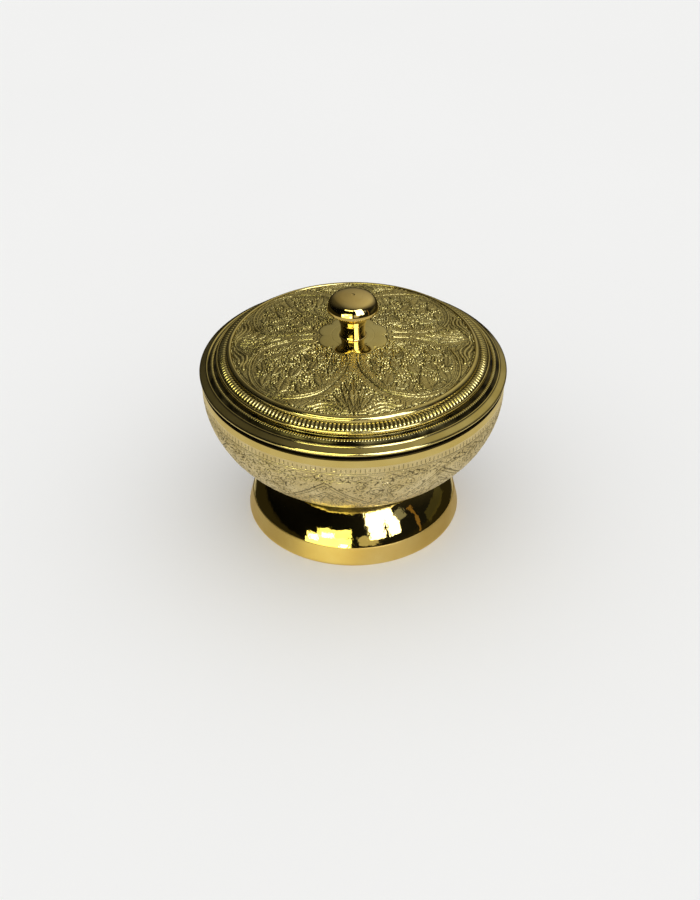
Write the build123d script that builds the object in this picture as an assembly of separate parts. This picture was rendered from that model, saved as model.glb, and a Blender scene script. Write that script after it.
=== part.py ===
"""Footed brass spice box (masala dabba): a round bowl on a domed foot, a stepped lid with a turned knob,
seven small cups on a level floor inside, and a spoon lying across them.

Millimetres. The origin is the centre of the ring the foot stands on, and +Z is the axis of the turned parts.
"""

import math
import os

from build123d import *

# ---------------------------------------------------------------- driving dimensions
LID_RADIUS = 76.1  # outermost edge of the lid's flange: a 6 inch box
RIM_HEIGHT = 82.0  # the bowl's rim, where the lid rests
KNOB_TOP = 124.5

# bowl: a half ellipsoid below a short upright band
BOWL_RADIUS = 75.3
BOWL_BASE = 26.0  # underside of the bowl's flat bottom
BELLY_CENTRE = 76.0  # height where the upright band turns into the belly
BELLY_DEPTH = 56.4  # the belly ellipse's upright half axis
BOWL_WALL = 2.0
BOTTOM_THICKNESS = 2.5
RIM_LAND = 3.0  # width of the flat rim
RIM_BEAD_HEIGHT = 2.8

# foot: a flared band under a steep dome, its top dished to take the bowl
FOOT_RADIUS = 55.0
FOOT_BAND_HEIGHT = 9.4
FOOT_BAND_TOP_RADIUS = 52.9
FOOT_LAND = 3.4  # width of the ring it stands on
DOME_RADIUS = 42.0  # of the dome's section
DOME_START_RADIUS = 52.6
DOME_START_TILT = 20.0  # degrees above level of the dome's outward normal at the band
DOME_CREST_TILT = 49.5
DISH_RADIUS = 36.0  # the flat that the bowl's bottom is bolted to
FOOT_WALL = 2.0

# lid
LID_SKIN = 2.1
FIELD_RADIUS = 59.6  # the engraved field inside the raised ring, domed up to the knob
FIELD_EDGE_HEIGHT = 95.7
FIELD_CENTRE_HEIGHT = 101.8
SPIGOT_RADIUS = 71.9  # locates the lid in the bowl's mouth with 0.4 mm to spare
SPIGOT_WALL = 1.5
SPIGOT_DEPTH = 4.5

# knob
KNOB_SEAT_RADIUS = 6.7
KNOB_STEM_RADIUS = 6.0
KNOB_CAP_RADIUS = 12.56
KNOB_CAP_HEIGHT = 117.7  # height of the cap's widest circle
KNOB_PIT_RADIUS = 1.1  # the lathe centre's mark on top

# fixings
FOOT_BOLT_RADIUS = 2.95
KNOB_SCREW_RADIUS = 2.5
HOLE_CLEARANCE = 0.1
FOOT_WASHER_THICKNESS = 1.2
FOOT_WASHER_RADIUS = 8.0
NUT_ACROSS_FLATS = 10.0
NUT_HEIGHT = 5.0
BOLT_HEAD_RADIUS = 6.0
BOLT_HEAD_HEIGHT = 3.0
BOLT_TIP_HEIGHT = 13.0
KNOB_WASHER_THICKNESS = 1.0
KNOB_WASHER_RADIUS = 7.0
SCREW_HEAD_RADIUS = 4.6
SCREW_HEAD_HEIGHT = 2.6
KNOB_HOLE_DEPTH = 14.0
SCREW_REACH = 12.0

# inside
FLOOR_HEIGHT = 46.0  # top of the level floor that the cups stand on
FLOOR_THICKNESS = 1.5
FLOOR_GAP = 0.05
CUPS_IN_RING = 6
CUP_RING_RADIUS = 46.4
CUP_HEIGHT = 31.0
CUP_WALL = 0.9
CUP_BASE_RADIUS = 12.6
CUP_MOUTH_RADIUS = 21.6
CUP_LIP_RADIUS = 1.1  # rolled edge
SPOON_HANDLE_WIDTH = 5.0
SPOON_THICKNESS = 1.4
SPOON_REST_GAP = 0.3
SCOOP_RADIUS = 11.0
SCOOP_DEPTH = 7.9
SCOOP_WALL = 1.0
SCOOP_FLAT = 2.0  # radius of its flat bottom
SPOON_TAIL = -50.0  # x of the handle's far end

PROFILE_PLANE = Plane.XZ  # profiles are drawn as (radius, height)


def turned(edges):
    """A lathe part: the closed outline of (radius, height) edges turned about the axis."""
    outline = Curve() + edges
    return revolve(make_face(PROFILE_PLANE * outline), Axis.Z, 360)


def run(*points):
    """Straight edges through (radius, height) points."""
    return Polyline(*points)


def ring(inner, outer, low, high):
    """A plain washer or tube."""
    return turned([run((inner, low), (outer, low), (outer, high), (inner, high), (inner, low))])


def ellipse_radius(half_width, half_depth, height):
    """Radius of the belly ellipse of those half axes at a height."""
    return half_width * math.sqrt(1.0 - ((BELLY_CENTRE - height) / half_depth) ** 2)


def belly(half_width, half_depth, low):
    """The belly's elliptical edge, from the height low up to where it stands upright."""
    start = (ellipse_radius(half_width, half_depth, low), low)
    angle = math.degrees(math.asin((BELLY_CENTRE - low) / half_depth))
    edge = EllipticalCenterArc((0, BELLY_CENTRE), half_width, half_depth, start_angle=-angle, arc_size=angle)
    return edge, start


def make_bowl():
    hole = FOOT_BOLT_RADIUS + HOLE_CLEARANCE
    inside_radius = BOWL_RADIUS - BOWL_WALL
    inside_floor = BOWL_BASE + BOTTOM_THICKNESS
    outer_edge, outer_start = belly(BOWL_RADIUS, BELLY_DEPTH, BOWL_BASE)
    inner_edge, inner_start = belly(inside_radius, BELLY_DEPTH - BOWL_WALL, inside_floor)
    land = BOWL_RADIUS - RIM_LAND
    bead_foot = RIM_HEIGHT - RIM_BEAD_HEIGHT
    step = inside_radius - land
    rim = run(
        (BOWL_RADIUS, BELLY_CENTRE),
        (BOWL_RADIUS, RIM_HEIGHT - 0.8),
        (BOWL_RADIUS - 0.8, RIM_HEIGHT),
        (land, RIM_HEIGHT),
        (land, bead_foot),
        (inside_radius, bead_foot - step),
        (inside_radius, BELLY_CENTRE),
    )
    bottom = run(inner_start, (hole, inside_floor), (hole, BOWL_BASE), outer_start)
    return turned([outer_edge, rim, inner_edge, bottom])


def make_inner_floor():
    inside_radius = BOWL_RADIUS - BOWL_WALL
    inside_depth = BELLY_DEPTH - BOWL_WALL
    low = FLOOR_HEIGHT - FLOOR_THICKNESS
    top_radius = ellipse_radius(inside_radius, inside_depth, FLOOR_HEIGHT) - FLOOR_GAP
    low_radius = ellipse_radius(inside_radius, inside_depth, low) - FLOOR_GAP
    side = [(low_radius, low), (top_radius, FLOOR_HEIGHT)]
    return turned([run((0, low), *side, (0, FLOOR_HEIGHT), (0, low))])


def dome_point(centre, radius, tilt):
    """(radius, height) on the dome's circular section where its outward normal has that tilt."""
    return (
        centre[0] + radius * math.cos(math.radians(tilt)),
        centre[1] + radius * math.sin(math.radians(tilt)),
    )


def make_foot():
    start = math.radians(DOME_START_TILT)
    centre = (
        DOME_START_RADIUS - DOME_RADIUS * math.cos(start),
        FOOT_BAND_HEIGHT - DOME_RADIUS * math.sin(start),
    )
    outer_tilts = (DOME_START_TILT, 35, DOME_CREST_TILT)
    inner_tilts = (DOME_START_TILT, 33, DOME_CREST_TILT - 4)
    outer = [dome_point(centre, DOME_RADIUS, tilt) for tilt in outer_tilts]
    inner = [dome_point(centre, DOME_RADIUS - FOOT_WALL, tilt) for tilt in inner_tilts]
    hole = FOOT_BOLT_RADIUS + HOLE_CLEARANCE
    under = BOWL_BASE - FOOT_WALL
    dish = run(
        outer[2],
        (DISH_RADIUS, BOWL_BASE),
        (hole, BOWL_BASE),
        (hole, under),
        (DISH_RADIUS + 0.5, under),
        inner[2],
    )
    stand = run(
        inner[0],
        (FOOT_RADIUS - FOOT_LAND, 0),
        (FOOT_RADIUS - 0.5, 0),
        (FOOT_RADIUS, 0.6),
        (FOOT_BAND_TOP_RADIUS, FOOT_BAND_HEIGHT),
        outer[0],
    )
    return turned([ThreePointArc(*outer), dish, ThreePointArc(*inner), stand])


def make_lid():
    """A stepped shell, from the domed engraved field out over the raised ring, the beaded band, the roll and
    the grooves to the flange."""
    hole = KNOB_SCREW_RADIUS + HOLE_CLEARANCE
    seat = KNOB_SEAT_RADIUS + 1.0
    under_field = FIELD_EDGE_HEIGHT - LID_SKIN
    under_centre = FIELD_CENTRE_HEIGHT - LID_SKIN
    spigot_inner = SPIGOT_RADIUS - SPIGOT_WALL
    spigot_low = RIM_HEIGHT - SPIGOT_DEPTH
    middle = FIELD_RADIUS * 0.57
    rise = (FIELD_CENTRE_HEIGHT - FIELD_EDGE_HEIGHT) * (1.0 - 0.57**2)
    flat = run((hole, FIELD_CENTRE_HEIGHT), (seat, FIELD_CENTRE_HEIGHT))
    field = ThreePointArc(
        (seat, FIELD_CENTRE_HEIGHT), (middle, FIELD_EDGE_HEIGHT + rise), (FIELD_RADIUS, FIELD_EDGE_HEIGHT)
    )
    steps = run(
        (FIELD_RADIUS, FIELD_EDGE_HEIGHT),
        (FIELD_RADIUS + 0.4, 96.2),
        (62.5, 95.0),
        (62.8, 93.9),
        (66.3, 92.3),
        (67.5, 91.2),
        (67.2, 89.3),
        (68.6, 89.0),
        (70.4, 89.3),
        (71.4, 87.6),
        (72.6, 87.4),
        (75.7, 85.6),
    )
    edge = ThreePointArc((75.7, 85.6), (LID_RADIUS, 84.7), (75.5, 83.9))
    under = run(
        (75.5, 83.9),
        (74.0, RIM_HEIGHT),
        (SPIGOT_RADIUS, RIM_HEIGHT),
        (SPIGOT_RADIUS, spigot_low),
        (spigot_inner, spigot_low),
        (spigot_inner, 85.2),
        (66.0, 87.2),
        (64.6, 90.2),
        (58.8, under_field),
    )
    vault = ThreePointArc((58.8, under_field), (middle, under_field + rise), (seat, under_centre))
    bore = run((seat, under_centre), (hole, under_centre), (hole, FIELD_CENTRE_HEIGHT))
    return turned([flat, field, steps, edge, under, vault, bore])


def make_knob():
    """A turned mushroom knob: a small lip at the seat, straight stem, flared throat and a full domed cap."""
    z = FIELD_CENTRE_HEIGHT
    wide = KNOB_CAP_HEIGHT
    stem = KNOB_STEM_RADIUS
    low = run((KNOB_SCREW_RADIUS, z), (KNOB_SEAT_RADIUS, z), (KNOB_SEAT_RADIUS, z + 0.4))
    cove = ThreePointArc((KNOB_SEAT_RADIUS, z + 0.4), (stem + 0.25, z + 0.65), (stem + 0.1, z + 1.2))
    shaft = ThreePointArc((stem + 0.1, z + 1.2), (stem, z + 4.0), (stem + 0.2, wide - 8.4))
    step = run((stem + 0.2, wide - 8.4), (stem + 0.7, wide - 7.9))
    lip = (KNOB_CAP_RADIUS - 1.1, wide - 1.2)
    throat = ThreePointArc((stem + 0.7, wide - 7.9), (stem + 2.3, wide - 3.7), lip)
    rim = ThreePointArc(lip, (KNOB_CAP_RADIUS - 0.3, wide - 0.7), (KNOB_CAP_RADIUS, wide))
    shoulder = (KNOB_CAP_RADIUS - 3.4, wide + 4.96)
    side = ThreePointArc((KNOB_CAP_RADIUS, wide), (KNOB_CAP_RADIUS - 0.56, wide + 2.34), shoulder)
    crown = ThreePointArc(shoulder, (5.3, KNOB_TOP - 0.52), (KNOB_PIT_RADIUS, KNOB_TOP))
    hole_top = z + KNOB_HOLE_DEPTH
    core = run(
        (KNOB_PIT_RADIUS, KNOB_TOP),
        (KNOB_PIT_RADIUS - 0.4, KNOB_TOP - 0.5),
        (0, KNOB_TOP - 0.5),
        (0, hole_top),
        (KNOB_SCREW_RADIUS, hole_top),
        (KNOB_SCREW_RADIUS, z),
    )
    return turned([low, cove, shaft, step, throat, rim, side, crown, core])


def make_foot_bolt():
    """Round-headed bolt, its head inside the bowl and its shank down through the foot's top plate."""
    seat = BOWL_BASE + BOTTOM_THICKNESS
    crown = seat + BOLT_HEAD_HEIGHT
    head = ThreePointArc((BOLT_HEAD_RADIUS, seat), (BOLT_HEAD_RADIUS * 0.75, crown - 0.7), (1.5, crown))
    shank = run(
        (1.5, crown),
        (0, crown),
        (0, BOLT_TIP_HEIGHT),
        (FOOT_BOLT_RADIUS - 0.5, BOLT_TIP_HEIGHT),
        (FOOT_BOLT_RADIUS, BOLT_TIP_HEIGHT + 0.5),
        (FOOT_BOLT_RADIUS, seat),
        (BOLT_HEAD_RADIUS, seat),
    )
    return turned([head, shank])


def make_foot_washer():
    high = BOWL_BASE - FOOT_WALL
    return ring(FOOT_BOLT_RADIUS + HOLE_CLEARANCE, FOOT_WASHER_RADIUS, high - FOOT_WASHER_THICKNESS, high)


def make_foot_nut():
    high = BOWL_BASE - FOOT_WALL - FOOT_WASHER_THICKNESS
    outline = RegularPolygon(NUT_ACROSS_FLATS / 2, 6, major_radius=False)
    bore = Circle(FOOT_BOLT_RADIUS)
    return Pos(0, 0, high - NUT_HEIGHT) * extrude(outline - bore, NUT_HEIGHT)


def make_knob_screw():
    """Cheese-headed screw with a driver slot, up through the lid into the knob."""
    seat = FIELD_CENTRE_HEIGHT - LID_SKIN - KNOB_WASHER_THICKNESS
    low = seat - SCREW_HEAD_HEIGHT
    tip = FIELD_CENTRE_HEIGHT + SCREW_REACH
    outline = run(
        (0, low),
        (SCREW_HEAD_RADIUS - 0.6, low),
        (SCREW_HEAD_RADIUS, low + 0.6),
        (SCREW_HEAD_RADIUS, seat),
        (KNOB_SCREW_RADIUS, seat),
        (KNOB_SCREW_RADIUS, tip),
        (0, tip),
        (0, low),
    )
    slot = Pos(0, 0, low + 0.5) * Box(2 * SCREW_HEAD_RADIUS + 1, 1.2, 1.0)
    return turned([outline]) - slot


def make_knob_washer():
    high = FIELD_CENTRE_HEIGHT - LID_SKIN
    return ring(KNOB_SCREW_RADIUS + HOLE_CLEARANCE, KNOB_WASHER_RADIUS, high - KNOB_WASHER_THICKNESS, high)


def make_cup():
    """A spun cup on its own axis: flat base, swelling side and rolled lip."""
    base = FLOOR_HEIGHT
    lip = base + CUP_HEIGHT - CUP_LIP_RADIUS
    side_middle = (CUP_BASE_RADIUS + 6.3, base + 12.0)
    outer = ThreePointArc((CUP_BASE_RADIUS, base), side_middle, (CUP_MOUTH_RADIUS, lip - CUP_LIP_RADIUS))
    roll = ThreePointArc(
        (CUP_MOUTH_RADIUS, lip - CUP_LIP_RADIUS),
        (CUP_MOUTH_RADIUS + CUP_LIP_RADIUS, lip),
        (CUP_MOUTH_RADIUS - 0.2, lip + CUP_LIP_RADIUS),
    )
    inside_mouth = CUP_MOUTH_RADIUS - CUP_WALL
    lead = run((CUP_MOUTH_RADIUS - 0.2, lip + CUP_LIP_RADIUS), (inside_mouth, lip), (inside_mouth, lip - 1.1))
    inner = ThreePointArc(
        (inside_mouth, lip - 1.1),
        (side_middle[0] - CUP_WALL, side_middle[1] + 0.4),
        (CUP_BASE_RADIUS - 0.6, base + CUP_WALL),
    )
    floor = base + CUP_WALL
    bottom = run((CUP_BASE_RADIUS - 0.6, floor), (0, floor), (0, base), (CUP_BASE_RADIUS, base))
    return turned([outer, roll, lead, inner, bottom])


def scoop_side(radius, depth, high):
    """The scoop's quarter ellipse, from the edge of its small flat bottom up to the brim."""
    flat = math.degrees(math.asin(SCOOP_FLAT / radius))
    start = (SCOOP_FLAT, high - depth * math.cos(math.radians(flat)))
    return start, EllipticalCenterArc((0, high), radius, depth, start_angle=flat - 90, arc_size=90 - flat)


def make_spoon():
    """A round scoop hanging in the first cup, on a flat handle that lies across the cups."""
    low = FLOOR_HEIGHT + CUP_HEIGHT + SPOON_REST_GAP
    high = low + SPOON_THICKNESS
    inner_radius = SCOOP_RADIUS - SCOOP_WALL
    outer_start, outer_edge = scoop_side(SCOOP_RADIUS, SCOOP_DEPTH, high)
    inner_start, inner_edge = scoop_side(inner_radius, SCOOP_DEPTH - SCOOP_WALL, high)
    top = run((inner_radius, high), (SCOOP_RADIUS, high))
    core = run(outer_start, (0, outer_start[1]), (0, inner_start[1]), inner_start)
    scoop = Pos(CUP_RING_RADIUS, 0, 0) * turned([outer_edge, top, inner_edge, core])
    joint_x = CUP_RING_RADIUS - SCOOP_RADIUS + 0.5
    length = joint_x - SPOON_TAIL
    handle = Pos(SPOON_TAIL + length / 2, 0, low + SPOON_THICKNESS / 2) * Box(
        length, SPOON_HANDLE_WIDTH, SPOON_THICKNESS
    )
    tail = Pos(SPOON_TAIL, 0, low) * Cylinder(
        SPOON_HANDLE_WIDTH * 0.8, SPOON_THICKNESS, align=(Align.CENTER, Align.CENTER, Align.MIN)
    )
    return scoop + handle + tail


def cup_places():
    """Name and turn, in degrees, of each cup in the ring."""
    step = 360 / CUPS_IN_RING
    return [(f"cup_{n + 1}", n * step) for n in range(CUPS_IN_RING)]


def main():
    parts = {
        "bowl": make_bowl(),
        "inner_floor": make_inner_floor(),
        "foot": make_foot(),
        "foot_bolt": make_foot_bolt(),
        "foot_washer": make_foot_washer(),
        "foot_nut": make_foot_nut(),
        "lid": make_lid(),
        "knob": make_knob(),
        "knob_screw": make_knob_screw(),
        "knob_washer": make_knob_washer(),
        "spoon": make_spoon(),
    }
    cup = make_cup()
    parts["cup_centre"] = cup
    for name, turn in cup_places():
        parts[name] = Rot(0, 0, turn) * Pos(CUP_RING_RADIUS, 0, 0) * cup
    os.makedirs("parts", exist_ok=True)
    for name, shape in parts.items():
        shape.label = name
        export_step(shape, f"parts/{name}.step")


main()
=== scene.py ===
"""Footed brass spice box: chased lid and bowl, polished knob, rims and foot, spun cups and a spoon inside.

Lengths inside the shape functions are millimetres; put() turns them into metres. +Z is the axis of the box.
"""

import math

import bpy
import numpy as np
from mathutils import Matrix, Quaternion, Vector


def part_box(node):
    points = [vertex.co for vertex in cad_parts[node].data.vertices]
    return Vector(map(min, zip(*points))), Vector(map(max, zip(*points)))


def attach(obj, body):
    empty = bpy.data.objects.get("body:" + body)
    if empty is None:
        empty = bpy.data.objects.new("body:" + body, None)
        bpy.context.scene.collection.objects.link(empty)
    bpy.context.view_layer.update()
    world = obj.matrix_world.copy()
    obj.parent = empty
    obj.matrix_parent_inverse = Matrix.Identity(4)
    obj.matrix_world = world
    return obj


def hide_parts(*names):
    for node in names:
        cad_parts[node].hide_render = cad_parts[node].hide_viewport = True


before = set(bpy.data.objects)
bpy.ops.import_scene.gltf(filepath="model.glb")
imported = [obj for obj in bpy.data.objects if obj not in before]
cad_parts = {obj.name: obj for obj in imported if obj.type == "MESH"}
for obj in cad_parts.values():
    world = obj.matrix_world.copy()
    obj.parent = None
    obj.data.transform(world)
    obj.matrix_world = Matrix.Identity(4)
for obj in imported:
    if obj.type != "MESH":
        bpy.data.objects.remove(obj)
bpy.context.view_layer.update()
MM = 0.001
TAU = 2.0 * math.pi


def box_mm(node):
    """Lowest and highest corner of a CAD node, in millimetres."""
    low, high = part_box(node)
    return np.array(low) / MM, np.array(high) / MM


# Heights and radii that the CAD nodes give.
RIM_Z = box_mm("bowl")[1][2]
BOWL_BASE = box_mm("bowl")[0][2]
FOOT_R = box_mm("foot")[1][0]
KNOB_SEAT = box_mm("knob")[0][2]
KNOB_TOP = box_mm("knob")[1][2]
KNOB_R = box_mm("knob")[1][0]
CUP_BASE = box_mm("cup_centre")[0][2]
CUP_TOP = box_mm("cup_centre")[1][2]

# ---- meshes


def put(name, points, material, body, wrap_rows=False, cut=None, replaces=(), zones=None, crease=32):
    """A surface from a grid of points (rows, columns, xyz) in millimetres.

    Columns always close on themselves. Rows close too with wrap_rows, or else each end row is closed by one
    flat cap. Rows climb the outside, so that faces look outwards. cut is 0 to 1 for each point, kept as the
    attribute "cut": darkness for tarnished cuts, and in places painted shade. zones is a list of (first row,
    material), after the first material.
    """
    rows, columns = points.shape[:2]
    index = np.arange(rows * columns).reshape(rows, columns)
    low = index if wrap_rows else index[:-1]
    high = np.roll(index, -1, 0) if wrap_rows else index[1:]
    quads = np.stack([low, np.roll(low, -1, 1), np.roll(high, -1, 1), high], -1).reshape(-1, 4)
    loops = [quads.ravel()]
    sizes = [np.full(len(quads), 4)]
    if not wrap_rows:
        loops += [index[0][::-1], index[-1]]
        sizes.append(np.array([columns, columns]))
    loops = np.concatenate(loops)
    sizes = np.concatenate(sizes)
    mesh = bpy.data.meshes.new(name)
    mesh.vertices.add(rows * columns)
    mesh.vertices.foreach_set("co", (points.reshape(-1, 3) * MM).astype(np.float32).ravel())
    mesh.loops.add(len(loops))
    mesh.loops.foreach_set("vertex_index", loops.astype(np.int32))
    mesh.polygons.add(len(sizes))
    starts = np.concatenate([[0], np.cumsum(sizes)[:-1]])
    mesh.polygons.foreach_set("loop_start", starts.astype(np.int32))
    mesh.polygons.foreach_set("use_smooth", np.ones(len(sizes), bool))
    mesh.materials.append(material)
    if zones:
        slots = np.zeros(len(sizes), np.int32)
        for number, (first_row, zone_material) in enumerate(zones, 1):
            mesh.materials.append(zone_material)
            slots[first_row * columns :] = number
        mesh.polygons.foreach_set("material_index", slots)
    layer = mesh.attributes.new("cut", "FLOAT", "POINT")
    values = np.zeros(rows * columns) if cut is None else np.asarray(cut).ravel()
    layer.data.foreach_set("value", values.astype(np.float32))
    mesh.update(calc_edges=True)
    mesh.validate()
    mesh.set_sharp_from_angle(angle=math.radians(crease))
    piece = bpy.data.objects.new(name, mesh)
    bpy.context.scene.collection.objects.link(piece)
    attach(piece, body)
    if replaces:
        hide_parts(*replaces)
    return piece


def lathe(profile, steps, centre=(0.0, 0.0)):
    """Points of a turned surface: each (radius, height) of the profile goes once round the axis."""
    turn = np.arange(steps) / steps * TAU
    radius = profile[:, 0, None]
    x = centre[0] + radius * np.cos(turn)
    y = centre[1] + radius * np.sin(turn)
    return np.stack([x, y, np.repeat(profile[:, 1, None], steps, 1)], -1)


def line(start, end, count):
    """Points along a straight run, without its last one."""
    share = np.arange(count)[:, None] / count
    return np.array(start) + share * (np.array(end) - np.array(start))


def corners(*points):
    """A profile's plain corners."""
    return np.array(points, float)


def arc(centre, radius, start, end, count):
    """Points of a circular or elliptical arc; radius is one number or a pair, angles in degrees."""
    turn = np.radians(np.linspace(start, end, count))
    wide, tall = np.broadcast_to(radius, 2)
    return np.stack([centre[0] + wide * np.cos(turn), centre[1] + tall * np.sin(turn)], -1)


def flowing(points, step):
    """A smooth line through a few points: Catmull-Rom spans, each cut into pieces about a step long."""
    p = np.array(points, float)
    p = np.vstack([2 * p[0] - p[1], p, 2 * p[-1] - p[-2]])
    out = []
    for a, b, c, d in zip(p[:-3], p[1:-2], p[2:-1], p[3:]):
        count = max(2, int(np.hypot(*(c - b)) / step) + 1)
        t = (np.arange(count) / count)[:, None]
        square = (2 * a - 5 * b + 4 * c - d) * t**2
        cube = (3 * b - a - 3 * c + d) * t**3
        out.append(0.5 * (2 * b + (c - a) * t + square + cube))
    return np.vstack([*out, p[-2:-1]])


# ---- chased relief


def lattice_noise(x, y, size, seed):
    """Smooth noise from 0 to 1: random values on a square lattice of that size, blended in between."""
    table = np.random.default_rng(seed).random((64, 64))
    u, v = x / size, y / size
    i, j = np.floor(u).astype(int), np.floor(v).astype(int)
    a, b = u - i, v - j
    a, b = a * a * (3 - 2 * a), b * b * (3 - 2 * b)
    near = table[i % 64, j % 64] * (1 - a) + table[(i + 1) % 64, j % 64] * a
    far = table[i % 64, (j + 1) % 64] * (1 - a) + table[(i + 1) % 64, (j + 1) % 64] * a
    return near * (1 - b) + far * b


def ramp(value, low, high):
    """0 below low, 1 above high, and a smooth step between."""
    t = np.clip((value - low) / (high - low), 0, 1)
    return t * t * (3 - 2 * t)


def line_distance(x, y, path):
    """Distance from each point to a path of straight runs, worked out run by run."""
    best = np.full(x.shape, 1e9)
    for (ax, ay), (bx, by) in zip(path[:-1], path[1:]):
        dx, dy = bx - ax, by - ay
        t = np.clip(((x - ax) * dx + (y - ay) * dy) / max(dx * dx + dy * dy, 1e-9), 0, 1)
        best = np.minimum(best, np.hypot(x - ax - t * dx, y - ay - t * dy))
    return best


def groove(distance, width):
    """1 in the middle of a chisel cut of that width, falling to 0 at its edge."""
    return np.clip(1 - distance / (width / 2), 0, 1)


class Relief:
    """Height and cut darkness over a set of flat points, painted motif by motif."""

    def __init__(self, x, y):
        self.x, self.y = x, y
        self.height = np.zeros(x.shape)
        self.cut = np.zeros(x.shape)
        self.ground = np.ones(x.shape)

    def near(self, x, y, reach):
        """The points within reach of a place, and their places measured from it."""
        chosen = np.nonzero((np.abs(self.x - x) < reach) & (np.abs(self.y - y) < reach))
        return chosen, self.x[chosen] - x, self.y[chosen] - y

    def along(self, points, reach):
        """The points within reach of a path's own box."""
        low, high = points.min(0) - reach, points.max(0) + reach
        inside = (self.x > low[0]) & (self.x < high[0]) & (self.y > low[1]) & (self.y < high[1])
        return np.nonzero(inside)

    def raise_over(self, chosen, inside, height):
        """Puts a motif of its own height in place of whatever was there."""
        self.height[chosen] = np.where(inside, height, self.height[chosen])
        self.cut[chosen] = np.where(inside, 0, self.cut[chosen])
        self.ground[chosen] = np.where(inside, 0, self.ground[chosen])

    def engrave(self, chosen, distance, width, depth):
        """A chisel cut of that width along the places where distance is 0, lowered and darkened."""
        mark = groove(distance, width)
        self.height[chosen] -= depth * mark
        self.cut[chosen] = np.maximum(self.cut[chosen], mark)

    def leaf(self, x, y, length, width, angle, bend=0.0, veins=7, lift=0.5):
        """A pointed leaf. Along it a runs from -1 to 1, and its half width goes as (1 - a^2) * (1 - a/3) with
        a saw edge. Each side of the centre vein swells as a half round, and slanting veins cross it."""
        chosen, dx, dy = self.near(x, y, length * 0.6 + width * 0.5)
        c, s = math.cos(math.radians(angle)), math.sin(math.radians(angle))
        a = (dx * c + dy * s) / (length / 2)
        b = -dx * s + dy * c - bend * (1 - a * a)
        saw = 1 + 0.16 * ((a * veins + 0.5) % 1.0 - 0.5)
        half = width / 2 * np.clip(1 - a * a, 0, None) * (1 - a / 3) * saw
        inside = (np.abs(a) < 1) & (np.abs(b) < half)
        share = np.where(inside, np.abs(b) / np.maximum(half, 1e-6), 1.0)
        self.raise_over(chosen, inside, lift * np.sqrt(np.clip(1 - (share * 2 - 1) ** 2, 0, 1)))
        self.engrave(chosen, np.where(np.abs(a) < 1.02, np.abs(np.abs(b) - half), 9), 0.6, 0.35)
        slant = np.abs((a * veins - share * 1.2) % 1.0 - 0.5) * length / 2 / veins
        self.engrave(chosen, np.where(inside & (share < 0.9), slant, 9), 0.42, 0.24)

    def flower(self, x, y, radius, petals=6, turn=0.0, lift=0.5):
        """A flower: rim radius * (0.8 + 0.2 |cos|) round its petals, a cut between petals and a round eye."""
        chosen, dx, dy = self.near(x, y, radius * 1.2)
        r, t = np.hypot(dx, dy), np.arctan2(dy, dx) + math.radians(turn)
        rim = radius * (0.8 + 0.2 * np.abs(np.cos(t * petals / 2)))
        inside = r < rim
        self.raise_over(chosen, inside, lift * np.clip(1 - ((r / rim - 0.62) / 0.42) ** 2, 0, None))
        self.engrave(chosen, np.abs(r - rim), 0.6, 0.35)
        between = np.abs(np.sin(t * petals / 2 + math.pi / 2)) * r * 2 / petals
        self.engrave(chosen, np.where(inside & (r > radius * 0.35), between, 9), 0.4, 0.25)
        self.raise_over(chosen, r < radius * 0.28, lift * 0.9)
        self.engrave(chosen, np.abs(r - radius * 0.32), 0.35, 0.25)

    def fan(self, x, y, radius, angle, spread, blades=9):
        """A fan of fine blades from a root: half rounds side by side, cut apart, over a scalloped edge."""
        chosen, dx, dy = self.near(x, y, radius)
        r = np.hypot(dx, dy)
        t = (np.degrees(np.arctan2(dy, dx)) - angle + 180) % 360 - 180
        phase = t / (2 * spread) * blades
        inside = (r < radius * (0.88 + 0.12 * np.abs(np.cos(phase * math.pi)))) & (np.abs(t) < spread)
        inside &= r > radius * 0.2
        self.raise_over(chosen, inside, 0.35 * np.abs(np.cos(phase * math.pi)))
        blade = np.abs(phase % 1.0 - 0.5) * r * math.radians(2 * spread) / blades
        self.engrave(chosen, np.where(inside, blade, 9), 0.4, 0.25)

    def path(self, points, width, depth):
        """A cut along a path."""
        chosen = self.along(points, 1.5)
        if len(chosen[0]):
            self.engrave(chosen, line_distance(self.x[chosen], self.y[chosen], points), width, depth)

    def rope(self, points, half, lift, width=0.5):
        """A raised half-round line along a path, with a cut on each side."""
        chosen = self.along(points, half + 1)
        if len(chosen[0]):
            distance = line_distance(self.x[chosen], self.y[chosen], points)
            inside = distance < half
            self.raise_over(chosen, inside, lift * np.sqrt(np.clip(1 - (distance / half) ** 2, 0, 1)))
            self.engrave(chosen, np.abs(distance - half), width, 0.35)

    def ribbon(self, points, gap, pitch, length, slant):
        """A row of short slanting cuts beside a path: they lie between gap and gap + length off it, a pitch
        apart, wherever the ground is still bare."""
        chosen = self.along(points, gap + length + 1)
        if not len(chosen[0]):
            return
        x, y = self.x[chosen], self.y[chosen]
        best, run, start = np.full(x.shape, 1e9), np.zeros(x.shape), 0.0
        for (ax, ay), (bx, by) in zip(points[:-1], points[1:]):
            dx, dy = bx - ax, by - ay
            size = math.hypot(dx, dy)
            t = np.clip(((x - ax) * dx + (y - ay) * dy) / max(size * size, 1e-9), 0, 1)
            away = np.hypot(x - ax - t * dx, y - ay - t * dy)
            run = np.where(away < best, start + t * size, run)
            best = np.minimum(best, away)
            start += size
        bare = (self.ground[chosen] > 0.5) & (best > gap) & (best < gap + length)
        mark = np.abs(((run + slant * best) / pitch) % 1.0 - 0.5) * pitch
        self.height[chosen] = np.where(bare, 0.25 * np.cos(mark / pitch * math.pi), self.height[chosen])
        self.engrave(chosen, np.where(bare, mark, 9), pitch * 0.5, 0.3)
        self.ground[chosen] = np.where(bare, 0, self.ground[chosen])

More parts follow.
